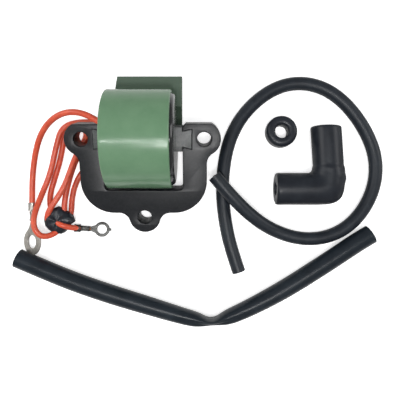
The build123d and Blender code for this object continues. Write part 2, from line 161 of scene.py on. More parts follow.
def scaled(nodes, links, value, factor, offset=0.0):
    """value times factor plus offset."""
    node = nodes.new("ShaderNodeMath")
    node.operation = "MULTIPLY_ADD"
    node.inputs[1].default_value = factor
    node.inputs[2].default_value = offset
    links.new(value, node.inputs[0])
    return node.outputs[0]


def summed(nodes, links, first, second):
    """One value plus another."""
    node = nodes.new("ShaderNodeMath")
    node.operation = "ADD"
    links.new(first, node.inputs[0])
    links.new(second, node.inputs[1])
    return node.outputs[0]


def bumped(nodes, links, shader, height, distance, strength):
    """Bump of the given depth in metres."""
    node = nodes.new("ShaderNodeBump")
    node.inputs["Strength"].default_value = strength
    node.inputs["Distance"].default_value = distance
    links.new(height, node.inputs["Height"])
    links.new(node.outputs["Normal"], shader.inputs["Normal"])


def coil_coordinates(nodes, links):
    """Object coordinates in the tilted coil's own frame."""
    place = nodes.new("ShaderNodeTexCoord")
    mapping = nodes.new("ShaderNodeMapping")
    mapping.vector_type = "TEXTURE"
    mapping.inputs["Location"].default_value = core_at
    mapping.inputs["Rotation"].default_value = (tilt, 0.0, 0.0)
    links.new(place.outputs["Object"], mapping.inputs["Vector"])
    return mapping.outputs["Vector"]


def painted_steel(name, colour, light_colour, roughness):
    """Satin paint with orange peel, thin scuffs, and ribs where the plates' edges show through."""
    material, nodes, links, shader = node_maker(name)
    place = coil_coordinates(nodes, links)
    worn = noise(nodes, links, place, scale=900.0, detail=6.0, roughness=0.7)
    links.new(ramp(nodes, links, worn, [(0.35, colour), (0.8, light_colour)]), shader.inputs["Base Color"])
    gloss = noise(nodes, links, place, scale=260.0, detail=4.0)
    links.new(scaled(nodes, links, gloss, factor=0.22, offset=roughness - 0.11), shader.inputs["Roughness"])
    split = nodes.new("ShaderNodeSeparateXYZ")
    links.new(place, split.inputs[0])
    rib = nodes.new("ShaderNodeMath")
    rib.operation = "SINE"
    turns = 2 * math.pi / (plate_pitch * mm)
    links.new(scaled(nodes, links, split.outputs["Z"], factor=turns), rib.inputs[0])
    peel = noise(nodes, links, place, scale=2600.0, detail=2.0)
    height = summed(nodes, links, scaled(nodes, links, rib.outputs[0], factor=0.12), peel)
    bumped(nodes, links, shader, height, distance=0.00006, strength=0.55)
    shader.inputs["Specular IOR Level"].default_value = 0.35
    return material


def arc(centre, radius, start, end, steps):
    """Points on a circle's arc, angles in degrees."""
    angles = np.radians(np.linspace(start, end, steps))
    return np.stack([centre[0] + radius * np.cos(angles), centre[1] + radius * np.sin(angles)], axis=1)


def mirrored(half):
    """A closed outline from its right half, which runs from its lowest middle point round to the next one."""
    on_axis = 1e-6
    left = half[::-1] * [-1.0, 1.0]
    return np.concatenate([half, left[np.abs(left[:, 0]) > on_axis]])


def frame_outline():
    """The U: lower ear, bar, round corner, side ear, dovetail and window, as lines and tangent arcs."""
    ear_x, ear_radius, hole_drop, lower_radius = 30.0, 8.2, 39.5, 7.9
    leg_out, leg_in, top, bar, window = 31.4, 19.5, 7.3, 37.2, 25.5
    side_blend, lower_blend, corner, inner_corner = 6.0, 5.5, 16.3, 2.0
    blend_x = math.sqrt((lower_radius + lower_blend) ** 2 - (hole_drop - bar - lower_blend) ** 2)
    lower_turn = math.degrees(math.atan2(hole_drop - bar - lower_blend, blend_x))
    blend_y = -math.sqrt((ear_radius + side_blend) ** 2 - (leg_out + side_blend - ear_x) ** 2)
    side_turn = math.degrees(math.atan2(blend_y, leg_out + side_blend - ear_x))
    top_turn = math.degrees(math.asin(top / ear_radius))
    neck, flare, depth, chamfer = 3.8, 4.9, 4.6, 1.5
    half = [
        arc((0, -hole_drop), lower_radius, -90, lower_turn, 22),
        arc((blend_x, -bar - lower_blend), lower_blend, 180 + lower_turn, 90, 14),
        arc((leg_out - corner, corner - bar), corner, -90, 0, 30),
        arc((leg_out + side_blend, blend_y), side_blend, 180, 180 + side_turn, 14),
        arc((ear_x, 0), ear_radius, side_turn, top_turn, 34),
        [(leg_in + chamfer, top), (leg_in, top - chamfer), (leg_in, neck), (leg_in + depth, flare)],
        [(leg_in + depth, -flare), (leg_in, -neck)],
        arc((leg_in - inner_corner, inner_corner - window), inner_corner, 0, -90, 8),
    ]
    return mirrored(np.concatenate([np.array(part, dtype=float) for part in half]))


def plate_piece(name, outlines, thickness, rounding, turn, material):
    """A flat plate with holes and rounded edges: closed outlines filled, thickened and bevelled, in mm."""
    curve = bpy.data.curves.new(name, "CURVE")
    curve.dimensions = "2D"
    curve.fill_mode = "BOTH"
    curve.extrude = (thickness / 2 - rounding) * mm
    curve.bevel_depth = rounding * mm
    curve.bevel_resolution = 2
    curve.offset = -rounding * mm
    for outline in outlines:
        spline = curve.splines.new("POLY")
        spline.points.add(len(outline) - 1)
        flat = np.zeros((len(outline), 4))
        flat[:, :2] = np.asarray(outline) * mm
        flat[:, 3] = 1.0
        spline.points.foreach_set("co", flat.ravel())
        spline.use_cyclic_u = True
    holder = bpy.data.objects.new(name + "_outline", curve)
    bpy.context.scene.collection.objects.link(holder)
    mesh = bpy.data.meshes.new_from_object(holder.evaluated_get(bpy.context.evaluated_depsgraph_get()))
    bpy.data.objects.remove(holder)
    mesh.name = name
    mesh.transform(turn)
    whole = bmesh.new()
    whole.from_mesh(mesh)
    bmesh.ops.remove_doubles(whole, verts=whole.verts, dist=1e-6)
    bmesh.ops.recalc_face_normals(whole, faces=whole.faces)
    whole.to_mesh(mesh)
    whole.free()
    return add_piece(name, mesh, material)


def add_piece(name, mesh, material, smooth=35.0):
    """Puts a mesh in the scene with its material, smooth but for its sharp edges."""
    mesh.materials.clear()
    mesh.materials.append(material)
    mesh.polygons.foreach_set("use_smooth", np.ones(len(mesh.polygons), dtype=bool))
    mesh.set_sharp_from_angle(angle=math.radians(smooth))
    piece = bpy.data.objects.new(name, mesh)
    bpy.context.scene.collection.objects.link(piece)
    return piece


frame_paint = painted_steel("frame_paint", colour=(0.007, 0.008, 0.010),
                            light_colour=(0.018, 0.019, 0.022), roughness=0.36)
ear_holes = [arc(centre, ear_hole_radius, 360, 0, 49)[:-1]
             for centre in ((-30.0, 0.0), (30.0, 0.0), (0.0, -39.5))]
frame_stack = plate_piece("frame_stack", [frame_outline(), *ear_holes], stack_height, frame_rounding,
                          coil_turn, frame_paint)
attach(frame_stack, "coil")
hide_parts("frame_laminations")

# Core
# A stack of punched bars through the windings. Each end is a dovetail driven into a leg of the frame and
# painted over with it. Its paint is drawn a lighter grey than the frame's, a painted sheen.
# Painted sheen: the same satin paint as the frame, given a much lighter grey.
core_painted_sheen = painted_steel("core_painted_sheen", colour=(0.06, 0.065, 0.065),
                           light_colour=(0.12, 0.128, 0.126), roughness=0.36)
core_half_width, leg_face, core_end, core_neck, core_flare = 6.0, 19.4, 24.0, 3.7, 4.8
core_height, core_rounding = stack_height - 0.1, 0.3
core_half = np.array([(0, -core_half_width), (leg_face, -core_half_width), (leg_face, -core_neck),
                      (core_end, -core_flare), (core_end, core_flare), (leg_face, core_neck),
                      (leg_face, core_half_width), (0, core_half_width)], dtype=float)
core_stack = plate_piece("core_stack", [mirrored(core_half)], core_height, core_rounding, coil_turn,
                         core_painted_sheen)
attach(core_stack, "coil")
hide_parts("core_laminations")


# Green housing
# One glossy moulding: a drum that holds the windings and a block along its far side for the high-tension
# lead. Its lower part is painted darker, a painted shade, and its gloss is duller there.
def green_moulding():
    """Moulded green plastic: cloudy colour, faint lengthwise drag lines, fine texture, and painted shade: a
    fade to a darker green, with duller gloss, between two heights in the coil's own frame."""
    shade_from, shade_to, drag_stretch = -0.004, -0.013, 0.12
    material, nodes, links, shader = node_maker("green_moulding")
    place = coil_coordinates(nodes, links)
    cloud = noise(nodes, links, place, scale=120.0, detail=5.0, roughness=0.6)
    unshaded_green = ramp(nodes, links, cloud, [(0.3, (0.122, 0.238, 0.134)), (0.7, (0.148, 0.272, 0.158))])
    split = nodes.new("ShaderNodeSeparateXYZ")
    links.new(place, split.inputs[0])
    # Painted shade: between these two heights the green darkens towards the bottom of the coil's frame, and
    # the gloss dulls there too.
    painted_shade_and_dullness = nodes.new("ShaderNodeMapRange")
    painted_shade_and_dullness.inputs["From Min"].default_value = shade_from
    painted_shade_and_dullness.inputs["From Max"].default_value = shade_to
    links.new(split.outputs["Z"], painted_shade_and_dullness.inputs["Value"])
    mix = nodes.new("ShaderNodeMix")
    mix.data_type = "RGBA"
    # The painted shade's colour: a dark green low down.
    mix.inputs["B"].default_value = (0.045, 0.078, 0.05, 1.0)
    links.new(painted_shade_and_dullness.outputs["Result"], mix.inputs["Factor"])
    links.new(unshaded_green, mix.inputs["A"])
    links.new(mix.outputs["Result"], shader.inputs["Base Color"])
    stretch = nodes.new("ShaderNodeMapping")
    stretch.inputs["Scale"].default_value = (drag_stretch, 1.0, 1.0)
    links.new(place, stretch.inputs["Vector"])
    drag = noise(nodes, links, stretch.outputs["Vector"], scale=2200.0, detail=3.0, roughness=0.6)
    grain = noise(nodes, links, place, scale=4200.0, detail=2.0)
    gloss = scaled(nodes, links, drag, factor=0.16, offset=0.13)
    dull = scaled(nodes, links, painted_shade_and_dullness.outputs["Result"], factor=0.42)
    links.new(summed(nodes, links, gloss, dull), shader.inputs["Roughness"])
    height = summed(nodes, links, drag, scaled(nodes, links, grain, factor=0.5))
    bumped(nodes, links, shader, height, distance=0.00003, strength=0.4)
    shader.inputs["Specular IOR Level"].default_value = 0.5
    return material


def dress(node, material):
    """Gives a CAD node's slots a finish."""
    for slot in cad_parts[node].material_slots:
        slot.material = material


dress("coil_housing", green_moulding())

# Potting resin
# Poured black resin, hard and glossy. It stands out of the drum's open end with a rounded shoulder.
drum_bore_radius, drum_axis_z, resin_face = 22.15, 6.0, 16.3


def surface(name, points, material, close_u=False, smooth=35.0):
    """A skin over a grid of points, u rows by v columns, in metres. Each row is a ring, which may close to a
    pole, and close_u joins the last row to the first."""
    rows, columns = points.shape[:2]
    u = np.arange(rows if close_u else rows - 1)[:, None]
    v = np.arange(columns)[None, :]
    next_u, next_v = (u + 1) % rows, (v + 1) % columns
    corners = [u * columns + v, next_u * columns + v, next_u * columns + next_v, u * columns + next_v]
    faces = np.stack([np.broadcast_to(c, (u.size, v.size)).ravel() for c in corners], axis=1)
    mesh = bpy.data.meshes.new(name)
    mesh.from_pydata(points.reshape(-1, 3).tolist(), [], faces.tolist())
    whole = bmesh.new()
    whole.from_mesh(mesh)
    bmesh.ops.remove_doubles(whole, verts=whole.verts, dist=2e-6)
    bmesh.ops.dissolve_degenerate(whole, edges=whole.edges, dist=1e-7)
    bmesh.ops.recalc_face_normals(whole, faces=whole.faces)
    whole.to_mesh(mesh)
    whole.free()
    return add_piece(name, mesh, material, smooth)


def to_coil(points):
    """Points of the coil's own frame, in mm, as the coil lies."""
    turn = np.array(coil_turn)
    return np.asarray(points) * mm @ turn[:3, :3].T + turn[:3, 3]


def resin_material():
    """Glossy black resin with a faint swirl and a few pits."""
    material, nodes, links, shader = node_maker("potting")
    place = coil_coordinates(nodes, links)
    swirl = noise(nodes, links, place, scale=180.0, detail=5.0, roughness=0.65)
    links.new(ramp(nodes, links, swirl, [(0.3, (0.006, 0.007, 0.007)), (0.75, (0.016, 0.018, 0.018))]),
              shader.inputs["Base Color"])
    links.new(scaled(nodes, links, swirl, factor=0.12, offset=0.06), shader.inputs["Roughness"])
    grain = noise(nodes, links, place, scale=420.0, detail=3.0)
    bumped(nodes, links, shader, grain, distance=0.0002, strength=0.35)
    shader.inputs["Coat Weight"].default_value = 0.4
    return material


def resin_cap():
    """Closed crown in the drum's mouth: flat in the middle, with a shoulder that falls away as a quarter
    ellipse of the radius, and a plain back hidden in the drum."""
    shoulder_from, shoulder_share, shoulder_fall, hidden_depth, crowding = 0.9, 0.1, 1.7, 4.0, 0.6
    around = np.linspace(0, 2 * np.pi, 96, endpoint=False)
    share = np.linspace(0.0, 1.0, 40) ** crowding
    over = np.clip((share - shoulder_from) / shoulder_share, 0, 1)
    drop = shoulder_fall * (1 - np.sqrt(np.clip(1 - over ** 2, 0, 1)))
    rows = [(resin_face - fall, part * drum_bore_radius) for fall, part in zip(drop, share)]
    rows += [(resin_face - hidden_depth, drum_bore_radius), (resin_face - hidden_depth, 0.0)]
    depth, radius = np.array(rows).T
    x = np.broadcast_to(depth[:, None], (len(rows), len(around)))
    return to_coil(np.stack([x, radius[:, None] * np.cos(around),
                             drum_axis_z + radius[:, None] * np.sin(around)], axis=2))


potting = resin_material()
resin_front = surface("resin_front", resin_cap(), potting)
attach(resin_front, "coil")
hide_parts("potting_resin")

# Windings, bobbins and contacts
# Inside the drum: nylon bobbins on the core, enamelled copper wound on them, varnished paper between, and
# the brass and solder that join them to the leads.
def wound_copper():
    """Enamelled wire laid side by side: a sine ridge for each turn, copper to red-brown."""
    wire_pitch = 0.0005
    material, nodes, links, shader = node_maker("copper_wire")
    place = coil_coordinates(nodes, links)
    split = nodes.new("ShaderNodeSeparateXYZ")
    links.new(place, split.inputs[0])
    ridge = nodes.new("ShaderNodeMath")
    ridge.operation = "SINE"
    links.new(scaled(nodes, links, split.outputs["X"], factor=2 * math.pi / wire_pitch), ridge.inputs[0])
    tone = noise(nodes, links, place, scale=500.0, detail=4.0)
    links.new(ramp(nodes, links, tone, [(0.3, (0.42, 0.13, 0.045)), (0.7, (0.62, 0.24, 0.09))]),
              shader.inputs["Base Color"])
    shader.inputs["Metallic"].default_value = 0.8
    links.new(scaled(nodes, links, tone, factor=0.2, offset=0.25), shader.inputs["Roughness"])
    bumped(nodes, links, shader, ridge.outputs[0], distance=0.0001, strength=0.6)
    return material


def plain_finish(name, dark, light, scale, roughness, metallic=0.0):
    """A finish with a mottled colour, uneven gloss and fine texture at one scale."""
    material, nodes, links, shader = node_maker(name)
    place = nodes.new("ShaderNodeTexCoord").outputs["Object"]
    mottle = noise(nodes, links, place, scale=scale, detail=5.0, roughness=0.6)
    links.new(ramp(nodes, links, mottle, [(0.3, dark), (0.7, light)]), shader.inputs["Base Color"])
    links.new(scaled(nodes, links, mottle, factor=0.2, offset=roughness - 0.1), shader.inputs["Roughness"])
    shader.inputs["Metallic"].default_value = metallic
    grain = noise(nodes, links, place, scale=scale * 6, detail=3.0)
    bumped(nodes, links, shader, grain, distance=0.00004, strength=0.5)
    return material


nylon = plain_finish("bobbin_nylon", dark=(0.55, 0.51, 0.4), light=(0.68, 0.64, 0.53),
                     scale=300.0, roughness=0.45)
copper = wound_copper()
brass = plain_finish("contact_brass", dark=(0.6, 0.42, 0.15), light=(0.8, 0.6, 0.27),
                     scale=700.0, roughness=0.32, metallic=1.0)
solder = plain_finish("solder", dark=(0.42, 0.42, 0.41), light=(0.62, 0.61, 0.59),
                      scale=900.0, roughness=0.35, metallic=0.9)
dress("primary_bobbin", nylon)
dress("secondary_bobbin", nylon)
for wound in ("primary_winding", "secondary_winding", "tower_link_wire"):
    dress(wound, copper)
dress("insulating_paper", plain_finish("paper", dark=(0.45, 0.31, 0.15), light=(0.6, 0.45, 0.26),
                                       scale=400.0, roughness=0.6))
dress("tower_contact", brass)
dress("lead_joints", solder)

# Orange primary leads
# Stranded copper in soft orange insulation. The short one arches from the drum's closed end down to its
# ring terminal. The long one is folded in a loose hank that black tape holds.
lead_diameter = 3.0


def orange_insulation():
    """Soft plastic insulation, a little darker and duller in patches."""
    material, nodes, links, shader = node_maker("orange_insulation")
    place = nodes.new("ShaderNodeTexCoord").outputs["Object"]
    patch = noise(nodes, links, place, scale=260.0, detail=5.0, roughness=0.6)
    links.new(ramp(nodes, links, patch, [(0.3, (0.62, 0.075, 0.035)), (0.7, (0.78, 0.12, 0.055))]),
              shader.inputs["Base Color"])
    links.new(scaled(nodes, links, patch, factor=0.18, offset=0.27), shader.inputs["Roughness"])
    grain = noise(nodes, links, place, scale=1800.0, detail=3.0)
    bumped(nodes, links, shader, grain, distance=0.00004, strength=0.4)
    shader.inputs["Subsurface Weight"].default_value = 0.08
    shader.inputs["Subsurface Radius"].default_value = (0.001, 0.0004, 0.0002)
    return material


def spline_curve(name, points, diameter, material, resolution=10):
    """A round cord: one open smooth spline through its control points, given in mm."""
    curve = bpy.data.curves.new(name, "CURVE")
    curve.dimensions = "3D"
    spline = curve.splines.new("NURBS")
    spline.points.add(len(points) - 1)
    flat = np.ones((len(points), 4))
    flat[:, :3] = np.asarray(points, dtype=float) * mm
    spline.points.foreach_set("co", flat.ravel())
    spline.order_u = 3
    spline.use_endpoint_u = True
    curve.resolution_u = resolution
    if diameter:
        curve.bevel_depth = diameter * mm / 2
        curve.bevel_resolution = 8
        curve.use_fill_caps = True
        curve.materials.append(material)
    cord = bpy.data.objects.new(name, curve)
    bpy.context.scene.collection.objects.link(cord)
    return cord


def spline_points(points, resolution):
    """The smooth spline's own points, in metres, for what follows it."""
    line = spline_curve("line", points, 0, None, resolution)
    mesh = bpy.data.meshes.new_from_object(line.evaluated_get(bpy.context.evaluated_depsgraph_get()))
    bpy.data.objects.remove(line)
    found = np.zeros(len(mesh.vertices) * 3)
    mesh.vertices.foreach_get("co", found)
    return found.reshape(-1, 3)


def from_coil(x, y, z):
    """One point of the coil's own frame, in mm, in the row's frame, in mm."""
    return tuple(to_coil([(x, y, z)])[0] / mm)


orange = orange_insulation()
large_ring_at = (-93.0, -46.8, 4.4)
large_ring_towards = (-93.1, -21.6, 4.6)
short_route = [
    from_coil(-14.2, 8.0, 7.0), from_coil(-19.7, 8.0, 7.0),
    (-56.1, 14.7, 27.3), (-61.9, 17.1, 27.0), (-68.6, 17.6, 25.2), (-75.2, 15.9, 22.0), (-81.1, 12.3, 17.9),
    (-85.9, 7.3, 13.3), (-89.3, 1.0, 9.3), (-91.5, -6.2, 6.5), (-92.8, -13.8, 5.0),
    (-93.09, -24.3, 4.58), (-93.07, -30.3, 4.53),
]
short_strand = spline_curve("short_lead_strand", short_route, lead_diameter, orange)
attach(short_strand, "coil")
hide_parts("short_lead", "short_lead_conductor")

long_route = [
    from_coil(-14.2, 6.0, -9.0), from_coil(-19.7, 6.0, -9.0),
    (-57.3, 15.0, 9.6), (-63.3, 15.8, 8.4), (-69.3, 15.6, 7.4), (-74.1, 14.2, 7.0), (-77.5, 11.0, 6.6),
    (-79.3, 6.0, 5.6), (-81.0, -0.1, 5.0), (-82.6, -7.2, 4.4), (-84.8, -14.1, 4.2), (-87.0, -19.6, 4.6),
    (-88.7, -25.0, 6.0), (-90.0, -30.3, 8.2), (-90.5, -35.6, 9.9), (-89.6, -40.2, 10.2), (-87.1, -43.5, 9.2),
    (-83.5, -43.8, 7.2), (-79.7, -41.6, 4.8), (-76.9, -37.8, 3.9), (-76.1, -32.8, 4.2), (-76.1, -26.2, 4.5),
    (-74.6, -18.3, 4.5), (-72.7, -10.7, 4.2), (-70.3, -3.4, 3.0), (-67.3, 3.2, 2.2), (-63.4, 9.4, 2.1),
    (-59.0, 12.0, 2.0), (-53.8, 10.4, 1.9), (-52.4, 4.9, 1.8), (-56.2, -0.4, 1.7), (-63.0, -5.2, 1.6),
    (-68.8, -11.4, 1.6), (-71.8, -18.5, 1.6), (-73.0, -25.2, 1.6), (-73.2, -31.6, 1.6),
    (-75.0, -37.2, 1.7), (-79.4, -40.2, 2.6), (-83.8, -38.6, 4.6), (-84.8, -33.6, 6.4), (-82.4, -28.8, 7.2),
    (-79.1, -24.2, 7.4), (-75.1, -17.5, 7.3), (-72.3, -9.9, 7.0), (-70.1, -3.2, 6.4), (-67.0, 3.4, 6.0),
    (-63.8, 8.4, 5.8), (-65.0, 12.8, 5.2), (-70.0, 14.2, 4.4), (-74.6, 12.2, 3.4), (-77.1, 7.6, 2.4),
    (-78.1, 1.8, 1.8), (-79.7, -5.4, 1.6), (-82.3, -13.8, 1.6), (-84.3, -20.4, 1.6), (-84.7, -26.2, 1.8),
    (-83.4, -31.2, 2.8), (-80.9, -34.9, 5.0), (-78.0, -37.2, 7.4), (-75.0, -38.6, 7.0), (-72.4, -39.3, 4.8),
    (-70.2, -39.7, 3.2), (-68.3, -39.8, 2.6),
]
long_strand = spline_curve("long_lead_strand", long_route, lead_diameter, orange)
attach(long_strand, "coil")
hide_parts("long_lead_start", "long_lead_tail", "long_lead_hank", "long_lead_conductor")

# Ring terminals
# Stamped from sheet: a flat ring, a tapered neck, and two pairs of wings curled round the bare wire and
# the insulation. The large one is bright tin, the small one dull and dark with a locating nub.
def tin_plate(name, dark, light, roughness):
    """Plated sheet: cloudy tin with an uneven gloss and a fine texture."""
    material, nodes, links, shader = node_maker(name)
    place = nodes.new("ShaderNodeTexCoord").outputs["Object"]
    cloud = noise(nodes, links, place, scale=700.0, detail=6.0, roughness=0.7)
    links.new(ramp(nodes, links, cloud, [(0.3, dark), (0.7, light)]), shader.inputs["Base Color"])
    shader.inputs["Metallic"].default_value = 0.85
    links.new(scaled(nodes, links, cloud, factor=0.25, offset=roughness - 0.12), shader.inputs["Roughness"])
    grain = noise(nodes, links, place, scale=3000.0, detail=3.0)
    bumped(nodes, links, shader, grain, distance=0.00005, strength=0.5)
    return material


def terminal_turn(at, towards, lean):
    """Matrix of a terminal: its barrel along +X from the ring's centre, its ring leaning about that line."""
    along = (Vector(towards) - Vector(at)).normalized()
    up = Vector((0, 0, 1))
    flat = (up - along * up.dot(along)).normalized()
    normal = Matrix.Rotation(math.radians(lean), 3, along) @ flat
    side = normal.cross(along)
    turn = Matrix((along, side, normal)).transposed().to_4x4()
    return Matrix.Translation(Vector(at) * mm) @ turn


def ring_blank(ring, reach, neck, nub):
    """Outline of the ring and its tapered neck: an arc of the ring, closed by a neck whose width falls by a
    square, and a nub opposite it. Angles in degrees."""
    open_turn, nub_turn, nub_half_width, neck_start = 32.0, 12, 0.16, 0.15
    body = arc((0, 0), ring, open_turn, 360 - open_turn, 60)
    if nub:
        left = arc((0, 0), ring, open_turn, 180 - nub_turn, 30)
        right = arc((0, 0), ring, 180 + nub_turn, 360 - open_turn, 30)
        tip = [(-ring - nub, ring * nub_half_width), (-ring - nub, -ring * nub_half_width)]
        body = np.concatenate([left, tip, right])
    start = body[-1]
    share = np.linspace(neck_start, 1.0, 8)
    width = neck + (abs(start[1]) - neck) * (1 - share) ** 2
    x = start[0] + (reach - start[0]) * share
    lower = np.stack([x, -width], axis=1)
    return np.concatenate([body, lower, (lower * [1, -1])[::-1]])


def curled_wings(name, turn, start, length, radius, wall, pinch, flare, material):
    """Wings curled to a tube: a wall with inner and outer skins. The seam on top is pinched in by a cosine
    power, both ends flare by a power of the length, and the ends are closed."""
    sharpness = 6
    around = np.linspace(0, 2 * np.pi, 48, endpoint=False)
    steps = np.linspace(0.0, 1.0, 16)
    seam = np.clip(np.cos(around - np.pi / 2), 0, 1) ** sharpness
    waist = np.sin(np.pi * steps) ** 0.5
    mouth = flare * (steps ** sharpness + (1 - steps) ** sharpness)

    def skin(offset):
        """One side of the wall, this far out from the tube's radius."""
        r = radius + offset + mouth[:, None] - pinch * waist[:, None] * seam[None, :]
        x = np.broadcast_to(start + length * steps[:, None], r.shape)
        return np.stack([x, r * np.cos(around), r * np.sin(around)], axis=2)

    rows = np.concatenate([skin(0.0), skin(-wall)[::-1]])
    flat = rows.reshape(-1, 3) * mm
    matrix = np.array(turn)
    placed = (flat @ matrix[:3, :3].T + matrix[:3, 3]).reshape(rows.shape)
    return surface(name, placed, material, close_u=True)


def terminal(prefix, turn, sizes, material, cad_node, nub=0.0):
    """A ring terminal in three pieces: the blank and two pairs of wings."""
    neck, neck_lap, edge_rounding, wall, wing_gap = 1.1, 1.0, 0.16, 0.4, 0.3
    hole = arc((0, 0), sizes["hole"], 360, 0, 41)[:-1]
    outline = ring_blank(sizes["ring"], sizes["reach"] + neck_lap, neck, nub)
    blank = plate_piece(prefix + "_blank", [outline, hole], sizes["sheet"], edge_rounding, turn, material)
    wire_wings = curled_wings(prefix + "_wire_wings", turn, start=sizes["reach"], length=sizes["barrel"],
                              radius=1.35, wall=wall, pinch=0.45, flare=0.15, material=material)
    grip_start = sizes["reach"] + sizes["barrel"] + wing_gap
    grip_wings = curled_wings(prefix + "_grip_wings", turn, start=grip_start,
                              length=sizes["grip"] - wing_gap, radius=2.0, wall=wall, pinch=0.3,
                              flare=0.12, material=material)
    pieces = [blank, wire_wings, grip_wings]
    for piece in pieces:
        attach(piece, "coil")
    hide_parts(cad_node)
    return pieces


def bare_wire(name, turn, start, end, material):
    """Bare strands twisted together, as one rope-like surface: its radius is the absolute value of a cosine
    of the angle, one lobe a strand, and the angle turns along the rope."""
    strands, rope_radius, lobe_share, lay_turn, end_share = 7, 0.78, 0.14, 2.5, 0.02
    around = np.linspace(0, 2 * np.pi, 42, endpoint=False)
    steps = np.linspace(0.0, 1.0, 30)
    turned = around[None, :] + lay_turn * steps[:, None]
    radius = rope_radius * (1 - lobe_share + lobe_share * np.abs(np.cos(strands / 2 * turned)))
    radius[0] = 0.0
    radius[-1] = 0.0
    along = start + (end - start) * np.clip((steps - end_share) / (1 - 2 * end_share), 0, 1)
    x = np.broadcast_to(along[:, None], radius.shape)
    rows = np.stack([x, radius * np.cos(around), radius * np.sin(around)], axis=2) * mm
    matrix = np.array(turn)
    return surface(name, rows @ matrix[:3, :3].T + matrix[:3, 3], material)


large_sizes = {"hole": 3.5, "ring": 7.0, "sheet": 0.8, "reach": 11.0, "barrel": 5.0, "grip": 4.5}
small_sizes = {"hole": 2.5, "ring": 4.0, "sheet": 0.7, "reach": 6.4, "barrel": 4.6, "grip": 3.4}
small_ring_at = (-56.9, -40.5, 1.15)
small_ring_towards = (-68.7, -39.8, 2.5)
tinned = tin_plate("tinned_copper", dark=(0.32, 0.3, 0.27), light=(0.5, 0.48, 0.44), roughness=0.4)
dull = tin_plate("dark_terminal", dark=(0.035, 0.035, 0.033), light=(0.11, 0.11, 0.105), roughness=0.42)
large_turn = terminal_turn(large_ring_at, large_ring_towards, lean=-34.0)
small_turn = terminal_turn(small_ring_at, small_ring_towards, lean=0.0)
large_terminal = terminal("large_ring", large_turn, large_sizes, tinned, "short_lead_ring_terminal")
small_terminal = terminal("small_ring", small_turn, small_sizes, dull, "long_lead_ring_terminal",
                          nub=0.9)
large_wire = bare_wire("large_ring_wire", large_turn, start=10.4, end=16.6, material=copper)
small_wire = bare_wire("small_ring_wire", small_turn, start=5.8, end=11.6, material=copper)
for piece in (large_wire, small_wire):
    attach(piece, "coil")


# Tape round the hank
# Black vinyl tape pulled round the folds a few times by hand, so it is creased and angular, with a corner
# at the right.
def tape_lump():
    """A flattened lump: its plan is a rounded polygon by angle, its height a power curve, and its skin has
    creases from a few sine waves across the wrap."""
    centre, middle, half_height, off_floor = (-79.0, -35.8), 4.1, 3.9, 0.12
    squareness, broad, fine = 2.6, 0.12, 0.08
    corners = np.array([(0.0, 7.6), (3.9, 5.4), (8.6, -0.4), (6.2, -1.8), (3.4, -5.7), (0.3, -7.0),
                        (-2.6, -6.2), (-7.3, -1.5), (-7.4, 2.1), (-5.2, 4.8)])
    angles = np.arctan2(corners[:, 1], corners[:, 0])
    order = np.argsort(angles)
    around = np.linspace(-np.pi, np.pi, 120, endpoint=False)
    reach = np.interp(around, angles[order], np.hypot(*corners[order].T), period=2 * np.pi)
    levels = np.linspace(-1.0, 1.0, 36)[:, None]
    plump = (1 - np.abs(levels) ** squareness) ** (1 / squareness)
    crease = broad * np.sin(9 * around + 3 * levels) + fine * np.sin(17 * around - 5 * levels)
    radius = plump * (reach + crease * plump)
    height = middle + levels * (half_height + 0.35 * np.cos(2 * around) + 0.2 * np.sin(5 * around))
    return np.stack([centre[0] + radius * np.cos(around), centre[1] + radius * np.sin(around),
                     np.maximum(height, off_floor)], axis=2) * mm


def tape_vinyl():
    """Black vinyl: overlapping edges of the turns as thin lines, stretched patches duller."""
    material, nodes, links, shader = node_maker("tape_vinyl")
    place = nodes.new("ShaderNodeTexCoord").outputs["Object"]
    wave = nodes.new("ShaderNodeTexWave")
    wave.inputs["Scale"].default_value = 110.0
    wave.inputs["Distortion"].default_value = 3.0
    links.new(place, wave.inputs["Vector"])
    patch = noise(nodes, links, place, scale=400.0, detail=4.0)
    links.new(ramp(nodes, links, patch, [(0.3, (0.006, 0.009, 0.014)), (0.7, (0.014, 0.019, 0.028))]),
              shader.inputs["Base Color"])
    links.new(scaled(nodes, links, patch, factor=0.25, offset=0.25), shader.inputs["Roughness"])
    height = summed(nodes, links, wave.outputs["Fac"], patch)
    bumped(nodes, links, shader, height, distance=0.0003, strength=0.5)
    return material


tape = surface("tape_wrap", tape_lump(), tape_vinyl(), smooth=28.0)
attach(tape, "coil")
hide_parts("bundle_tape")


# High-tension lead
# A thick smooth black jacket round a thin stranded core, cut square at both ends. It lies in one loop, its
# first end over its tail.
def black_jacket(name, dark, light, roughness, scale):
    """Black rubber or vinyl with a blue cast: dusty patches, rubbed gloss and a fine skin."""
    material, nodes, links, shader = node_maker(name)
    place = nodes.new("ShaderNodeTexCoord").outputs["Object"]
    dust = noise(nodes, links, place, scale=scale, detail=6.0, roughness=0.65)
    links.new(ramp(nodes, links, dust, [(0.3, dark), (0.75, light)]), shader.inputs["Base Color"])
    links.new(scaled(nodes, links, dust, factor=0.2, offset=roughness - 0.1), shader.inputs["Roughness"])
    grain = noise(nodes, links, place, scale=scale * 16, detail=3.0)
    bumped(nodes, links, shader, grain, distance=0.00004, strength=0.5)
    shader.inputs["Specular IOR Level"].default_value = 0.32
    return material


